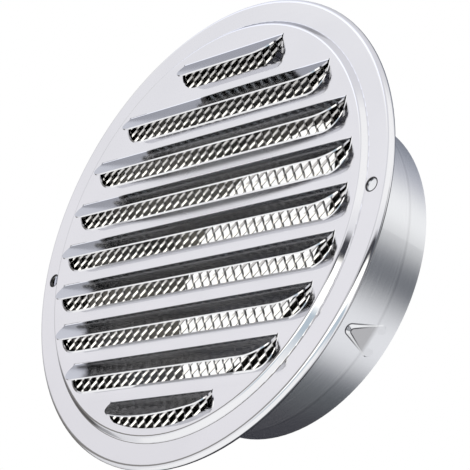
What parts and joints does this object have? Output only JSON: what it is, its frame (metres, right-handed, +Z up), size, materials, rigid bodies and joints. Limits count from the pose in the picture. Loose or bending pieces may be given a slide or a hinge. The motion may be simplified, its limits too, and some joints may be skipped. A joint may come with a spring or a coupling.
{
  "type": "round louvred vent cover",
  "caption": "Round polished stainless wall vent cover with lanced louvres, a rolled rim, an expanded metal insect screen behind the louvres and a barbed round duct collar.",
  "frame": {"origin": "on the collar's axis, in the plane of the wall that the rolled rim rests on", "axes": "+Z up as the cover hangs on a wall, -Y the way the louvred face looks, +Y into the duct along the collar, +X to the viewer's right when facing the louvres"},
  "size_m": [0.2, 0.0633, 0.2],
  "materials": {
    "polished_steel": "polished stainless steel, close to a mirror",
    "screen_steel": "plain expanded stainless steel",
    "collar_steel": "bright drawn stainless steel with fine drawing lines"
  },
  "bodies": {
    "root": {"face_plate": "polished_steel", "mesh_screen": "screen_steel", "collar": "collar_steel"}
  },
  "joints": []
}
